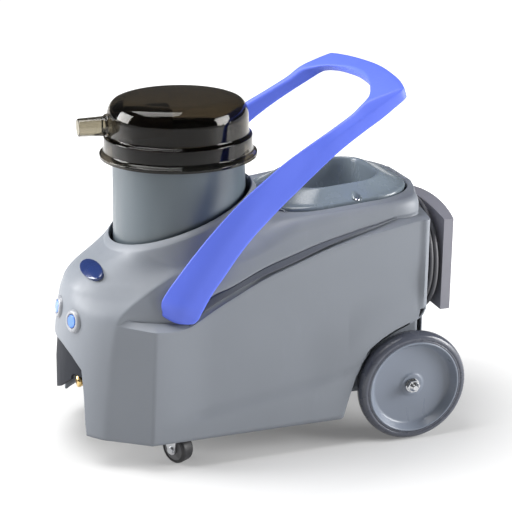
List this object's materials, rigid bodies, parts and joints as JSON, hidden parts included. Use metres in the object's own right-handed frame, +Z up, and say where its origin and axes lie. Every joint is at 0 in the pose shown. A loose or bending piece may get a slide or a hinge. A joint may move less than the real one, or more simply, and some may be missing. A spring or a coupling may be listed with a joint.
{
  "type": "carpet extractor",
  "caption": "Wheeled carpet extractor: moulded shell with looped push handle, recovery tank under a smoked lift-off lid, solution filler, cord store, rear wheels and swivel casters.",
  "frame": {"origin": "middle of the machine's outline, on the floor", "axes": "+X towards the rear with the cord store, +Y to the machine's right as seen from behind, +Z up"},
  "size_m": [0.6624, 0.3628, 0.5996],
  "materials": {
    "body": "satin grained",
    "dark_trim": "matt",
    "base": "matt",
    "tank": "satin",
    "clear_lid": "smoked clear",
    "lid_inner": "smooth",
    "pipe": "smooth",
    "float": "smooth",
    "handle": "satin",
    "badge": "gloss",
    "bezel": "gloss",
    "button": "gloss",
    "store": "satin",
    "cable": "matt",
    "wheel": "satin",
    "tyre": "matt",
    "nylon": "smooth",
    "caster_wheel": "smooth",
    "caster_tyre": "matt",
    "zinc": "zinc plated",
    "steel": "turned",
    "chrome": "bright",
    "brass": "turned",
    "rubber": "matt",
    "motor": "satin",
    "rotor": "cast",
    "switch": "matt"
  },
  "bodies": {
    "machine": {"body_shell": "body", "front_valance": "dark_trim", "base_plate": "base", "recovery_tank": "tank", "solution_tank": "tank", "filler_funnel": "tank", "standpipe": "pipe", "pipe_cap": "pipe", "handle": "handle", "front_badge": "badge", "button_bezel_near": "bezel", "button_bezel_far": "bezel", "cord_hub": "store", "cord_flange": "store", "cord_core": "cable", "power_cord": "cable", "cord_gland": "cable", "mains_plug": "cable", "caster_plate_near": "zinc", "caster_plate_far": "zinc", "axle_brackets": "zinc", "coupler_bracket": "zinc", "handle_bolts": "zinc", "store_screws": "zinc", "base_screws": "zinc", "rear_axle": "steel", "axle_nuts": "chrome", "tank_screws": "chrome", "quick_coupler": "brass", "coupler_nut": "brass", "motor_gasket": "rubber", "suction_hose": "rubber", "outlet_hose": "rubber", "vacuum_motor": "motor", "fan_housing": "motor", "solution_pump": "motor", "switch_blocks": "switch", "switch_nuts": "switch"},
    "wheel_near": {"wheel_hub_near": "wheel", "wheel_tyre_near": "tyre", "wheel_bush_near": "nylon"},
    "wheel_far": {"wheel_hub_far": "wheel", "wheel_tyre_far": "tyre", "wheel_bush_far": "nylon"},
    "swivel_near": {"caster_fork_near": "zinc", "caster_axle_near": "zinc"},
    "swivel_far": {"caster_fork_far": "zinc", "caster_axle_far": "zinc"},
    "castor_near": {"caster_wheel_near": "caster_wheel", "caster_tyre_near": "caster_tyre"},
    "castor_far": {"caster_wheel_far": "caster_wheel", "caster_tyre_far": "caster_tyre"},
    "button_near": {"button_cap_near": "button"},
    "button_far": {"button_cap_far": "button"},
    "lid": {"lid": "clear_lid", "lid_gasket": "rubber", "inlet_hood": "lid_inner"},
    "float": {"float_ring": "float"},
    "rotor": {"fan_rotor": "rotor"},
    "strainer": {"filler_strainer": "lid_inner"}
  },
  "joints": [
    {"name": "wheel_spin_near", "type": "hinge", "parent": "machine", "child": "wheel_near", "pos_m": [0.23146, -0.157, 0.095], "axis": [0, 1, 0], "continuous": true},
    {"name": "caster_swivel_near", "type": "hinge", "parent": "machine", "child": "swivel_near", "pos_m": [-0.17254, -0.115, 0.07], "axis": [0, 0, 1], "continuous": true},
    {"name": "caster_spin_near", "type": "hinge", "parent": "swivel_near", "child": "castor_near", "pos_m": [-0.163, -0.13026, 0.025], "axis": [0.848, 0.5299, 0], "continuous": true},
    {"name": "wheel_spin_far", "type": "hinge", "parent": "machine", "child": "wheel_far", "pos_m": [0.23146, 0.157, 0.095], "axis": [0, 1, 0], "continuous": true},
    {"name": "caster_swivel_far", "type": "hinge", "parent": "machine", "child": "swivel_far", "pos_m": [-0.17254, 0.115, 0.07], "axis": [0, 0, 1], "continuous": true},
    {"name": "caster_spin_far", "type": "hinge", "parent": "swivel_far", "child": "castor_far", "pos_m": [-0.163, 0.13026, 0.025], "axis": [-0.848, 0.5299, 0], "continuous": true},
    {"name": "button_press_near", "type": "slide", "parent": "machine", "child": "button_near", "axis": [0.9191, 0.3538, -0.1736], "range_m": [0, 0.003], "stiffness_N_per_m": 400},
    {"name": "button_press_far", "type": "slide", "parent": "machine", "child": "button_far", "axis": [0.9847, 0.0112, -0.1736], "range_m": [0, 0.003], "stiffness_N_per_m": 400},
    {"name": "lid_lift", "type": "slide", "parent": "machine", "child": "lid", "axis": [0, 0, 1], "range_m": [0, 0.12]},
    {"name": "float_rise", "type": "slide", "parent": "machine", "child": "float", "axis": [0, 0, 1], "range_m": [0, 0.03]},
    {"name": "fan_spin", "type": "hinge", "parent": "machine", "child": "rotor", "pos_m": [-0.09854, 0, 0.15], "axis": [0, 0, 1], "continuous": true},
    {"name": "strainer_lift", "type": "slide", "parent": "machine", "child": "strainer", "axis": [0, 0, 1], "range_m": [0, 0.08]}
  ]
}
